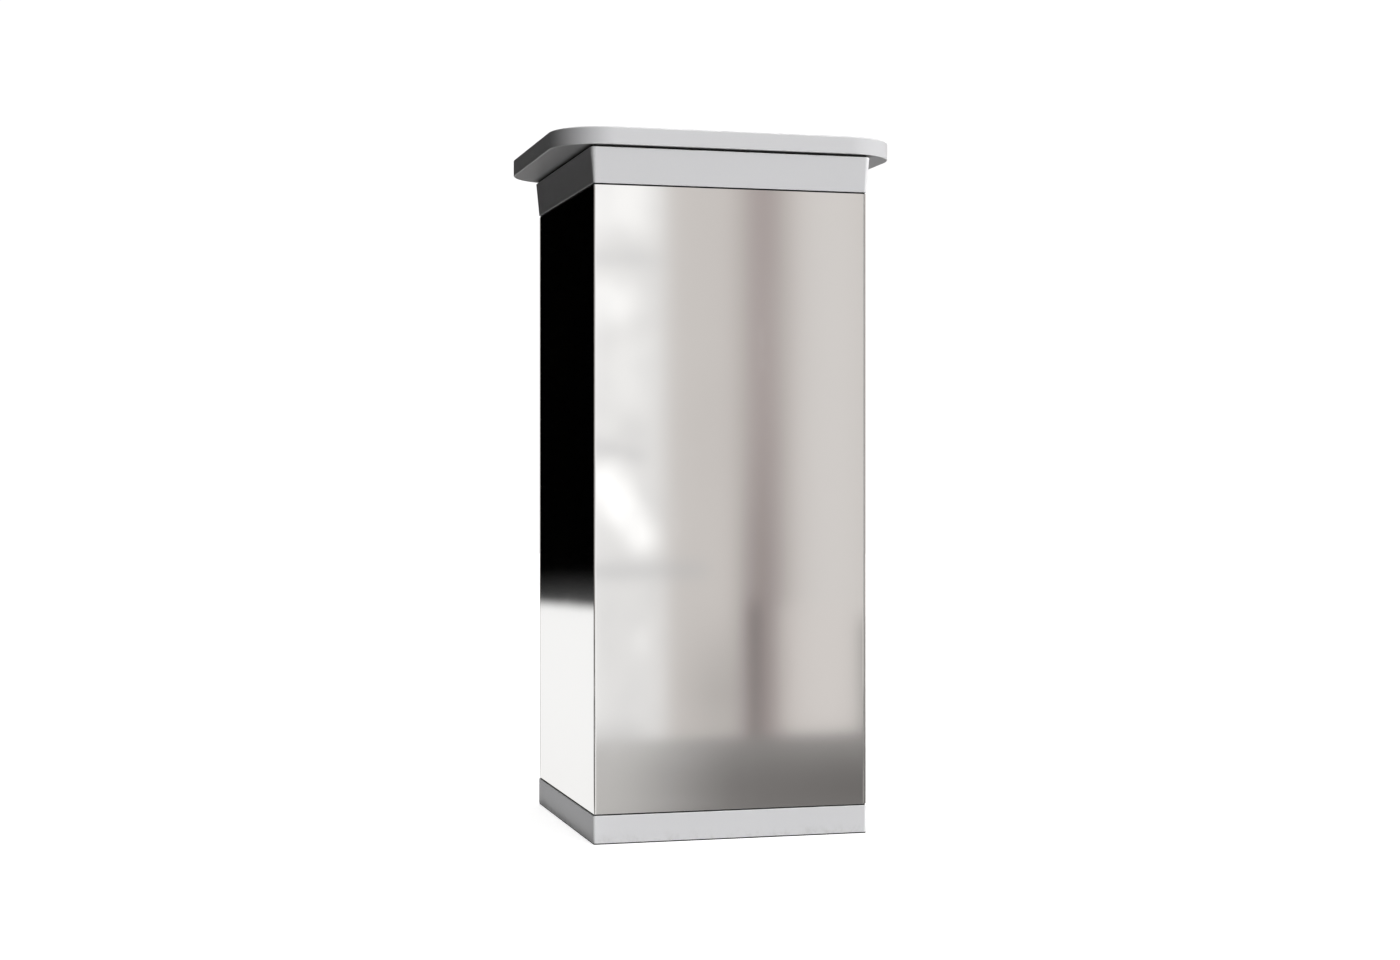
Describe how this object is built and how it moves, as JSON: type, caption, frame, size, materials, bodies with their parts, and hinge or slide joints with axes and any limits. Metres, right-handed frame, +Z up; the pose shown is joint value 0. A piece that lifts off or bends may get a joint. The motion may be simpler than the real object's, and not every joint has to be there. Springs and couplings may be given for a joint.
{
  "type": "clad safety bollard",
  "caption": "Square fixed bollard: mirror steel sleeve round a bolted steel post, grey base skirt, flared collar and an oblong round-cornered cap plate.",
  "frame": {"origin": "middle of the base, on the floor", "axes": "+Z up; the front face looks along -Y and the left face along -X; the cap plate is widest along X"},
  "size_m": [0.504, 0.424, 1],
  "materials": {
    "mirror_steel": "mirror-polished stainless sheet",
    "grey_powder_coat": "light grey satin powder coat on aluminium",
    "black_rubber": "black seal rubber",
    "galvanised_steel": "hot-dip galvanised",
    "stainless_fasteners": "stainless screw",
    "zinc_fasteners": "zinc-plated",
    "grey_plugs": "grey moulded plug"
  },
  "bodies": {
    "root": {"base_plate": "galvanised_steel", "base_skirt": "grey_powder_coat", "bedding_seal": "black_rubber", "bracket_screws": "zinc_fasteners", "cap_gasket": "black_rubber", "cap_plate": "grey_powder_coat", "cap_plugs": "grey_plugs", "cap_screws": "zinc_fasteners", "cap_spacers": "galvanised_steel", "carrier_bolts": "zinc_fasteners", "carrier_nuts": "zinc_fasteners", "cleat_lower_left": "galvanised_steel", "cleat_lower_right": "galvanised_steel", "cleat_middle_left": "galvanised_steel", "cleat_middle_right": "galvanised_steel", "cleat_upper_left": "galvanised_steel", "cleat_upper_right": "galvanised_steel", "collar": "grey_powder_coat", "collar_nuts": "zinc_fasteners", "collar_screws": "zinc_fasteners", "core_post": "galvanised_steel", "front_shell": "mirror_steel", "gusset_back": "galvanised_steel", "gusset_front": "galvanised_steel", "gusset_left": "galvanised_steel", "gusset_right": "galvanised_steel", "head_plate": "galvanised_steel", "lower_carrier": "galvanised_steel", "lower_seal": "black_rubber", "middle_carrier": "galvanised_steel", "rear_shell": "mirror_steel", "rivet_nuts": "zinc_fasteners", "shell_screws": "stainless_fasteners", "skirt_bracket_back": "galvanised_steel", "skirt_bracket_front": "galvanised_steel", "skirt_bracket_left": "galvanised_steel", "skirt_bracket_right": "galvanised_steel", "skirt_screws": "zinc_fasteners", "upper_carrier": "galvanised_steel", "upper_seal": "black_rubber"}
  },
  "joints": []
}
